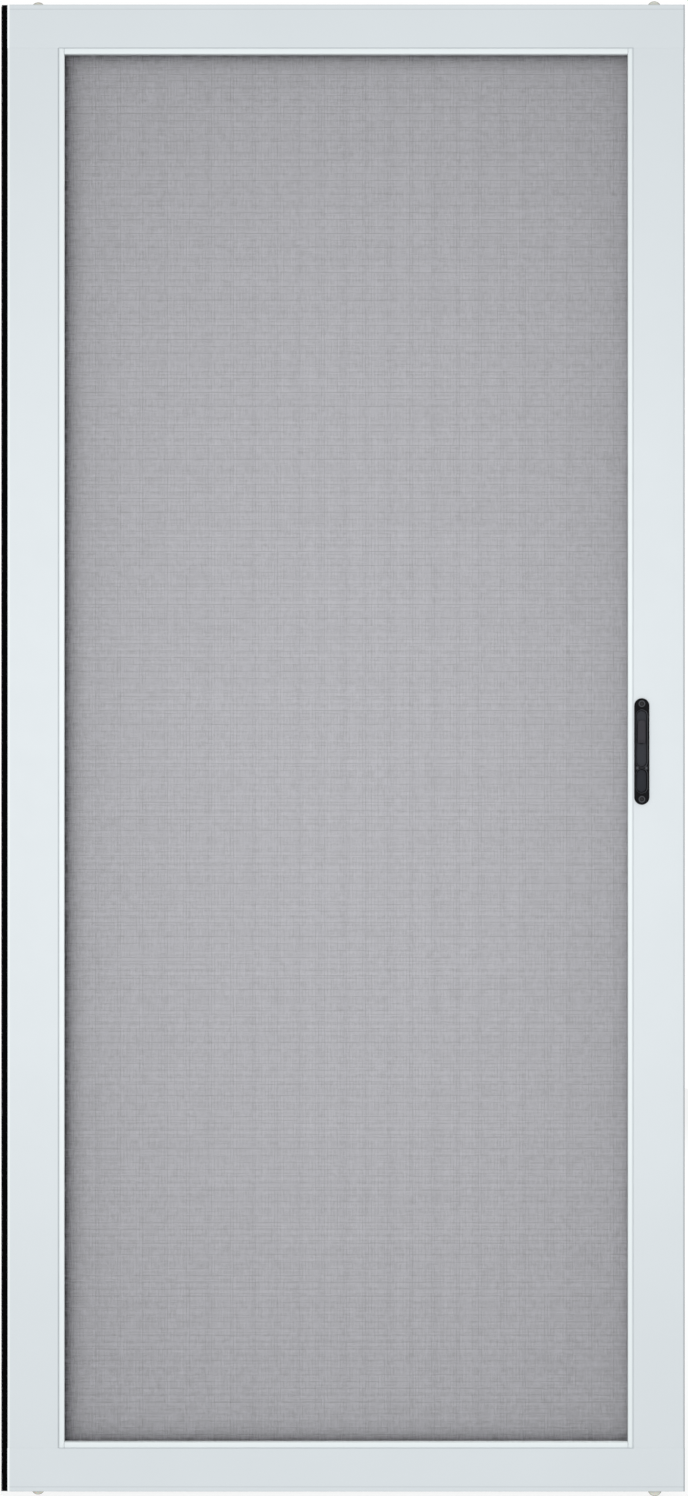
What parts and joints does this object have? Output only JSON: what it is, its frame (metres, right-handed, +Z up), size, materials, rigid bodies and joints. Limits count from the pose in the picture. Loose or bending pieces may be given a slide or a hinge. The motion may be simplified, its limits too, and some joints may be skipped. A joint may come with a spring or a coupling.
{
  "type": "sliding screen door",
  "caption": "White sliding screen door leaf with charcoal insect mesh, black pull handle with thumb latch, pile seal on the rear stile and adjustable rollers top and bottom.",
  "frame": {"origin": "on the bottom edge of the bottom rail's outer leg, in the middle of the door's width", "axes": "+X to the handle stile as seen from outside, +Y from the outside face to the inside face, +Z up"},
  "size_m": [0.9188, 0.025, 2.013],
  "materials": {
    "frame_paint": "white baked enamel, semi-gloss",
    "screen_mesh": "charcoal vinyl-coated glass fibre mesh, 18 x 16 threads per inch",
    "spline_vinyl": "black foamed vinyl",
    "seal_backing": "black polypropylene",
    "seal_pile": "black woven pile",
    "handle_plastic": "black, fine satin texture",
    "thumb_plastic": "dark grey, satin",
    "wheel_nylon": "natural nylon",
    "zinc_steel": "zinc plated"
  },
  "bodies": {
    "door_leaf": {"top_rail": "frame_paint", "bottom_rail": "frame_paint", "rear_stile": "frame_paint", "handle_stile": "frame_paint", "screen_cloth": "screen_mesh", "spline_bottom": "spline_vinyl", "spline_top": "spline_vinyl", "spline_rear": "spline_vinyl", "spline_handle": "spline_vinyl", "seal_backing": "seal_backing", "seal_pile": "seal_pile", "outer_pull": "handle_plastic", "inner_pull": "handle_plastic", "latch_face_plate": "zinc_steel", "latch_case": "zinc_steel", "roller_housing_bottom_rear": "zinc_steel", "adjusting_screw_bottom_rear": "zinc_steel", "corner_screw_bottom_rear": "zinc_steel", "roller_housing_bottom_handle": "zinc_steel", "adjusting_screw_bottom_handle": "zinc_steel", "corner_screw_bottom_handle": "zinc_steel", "roller_housing_top_rear": "zinc_steel", "adjusting_screw_top_rear": "zinc_steel", "corner_screw_top_rear": "zinc_steel", "roller_housing_top_handle": "zinc_steel", "adjusting_screw_top_handle": "zinc_steel", "corner_screw_top_handle": "zinc_steel"},
    "arm_bottom_rear": {"roller_arm_bottom_rear": "zinc_steel"},
    "wheel_bottom_rear": {"roller_wheel_bottom_rear": "wheel_nylon"},
    "arm_bottom_handle": {"roller_arm_bottom_handle": "zinc_steel"},
    "wheel_bottom_handle": {"roller_wheel_bottom_handle": "wheel_nylon"},
    "arm_top_rear": {"roller_arm_top_rear": "zinc_steel"},
    "wheel_top_rear": {"roller_wheel_top_rear": "wheel_nylon"},
    "arm_top_handle": {"roller_arm_top_handle": "zinc_steel"},
    "wheel_top_handle": {"roller_wheel_top_handle": "wheel_nylon"},
    "thumb": {"thumb_slide": "thumb_plastic"},
    "hook": {"latch_hook": "zinc_steel"}
  },
  "joints": [
    {"name": "adjust_bottom_rear", "type": "hinge", "parent": "door_leaf", "child": "arm_bottom_rear", "pos_m": [-0.441, 0.0079, 0.014], "axis": [0, 1, 0], "range_deg": [0, 8.58]},
    {"name": "spin_bottom_rear", "type": "hinge", "parent": "arm_bottom_rear", "child": "wheel_bottom_rear", "pos_m": [-0.4148, 0.0079, 0.0043], "axis": [0, 1, 0], "continuous": true},
    {"name": "adjust_bottom_handle", "type": "hinge", "parent": "door_leaf", "child": "arm_bottom_handle", "pos_m": [0.441, 0.0079, 0.014], "axis": [0, -1, 0], "range_deg": [0, 3.68]},
    {"name": "spin_bottom_handle", "type": "hinge", "parent": "arm_bottom_handle", "child": "wheel_bottom_handle", "pos_m": [0.41572, 0.0079, 0.0021], "axis": [0, 1, 0], "continuous": true},
    {"name": "adjust_top_rear", "type": "hinge", "parent": "door_leaf", "child": "arm_top_rear", "pos_m": [-0.441, 0.0079, 1.986], "axis": [0, -1, 0], "range_deg": [0, 10.53]},
    {"name": "spin_top_rear", "type": "hinge", "parent": "arm_top_rear", "child": "wheel_top_rear", "pos_m": [-0.41448, 0.0079, 1.9948], "axis": [0, 1, 0], "continuous": true},
    {"name": "adjust_top_handle", "type": "hinge", "parent": "door_leaf", "child": "arm_top_handle", "pos_m": [0.441, 0.0079, 1.986], "axis": [0, 1, 0], "range_deg": [0, 7.7]},
    {"name": "spin_top_handle", "type": "hinge", "parent": "arm_top_handle", "child": "wheel_top_handle", "pos_m": [0.41495, 0.0079, 1.9961], "axis": [0, 1, 0], "continuous": true},
    {"name": "thumb_lock", "type": "slide", "parent": "door_leaf", "child": "thumb", "axis": [0, 0, -1], "range_m": [0, 0.012]},
    {"name": "hook_swing", "type": "hinge", "parent": "door_leaf", "child": "hook", "pos_m": [0.446, 0.0079, 0.9734], "axis": [0, 1, 0], "range_deg": [0, 75]}
  ],
  "couplings": [
    {"joint": "hook_swing", "follows": "thumb_lock", "rad_per_m": 109.08}
  ]
}
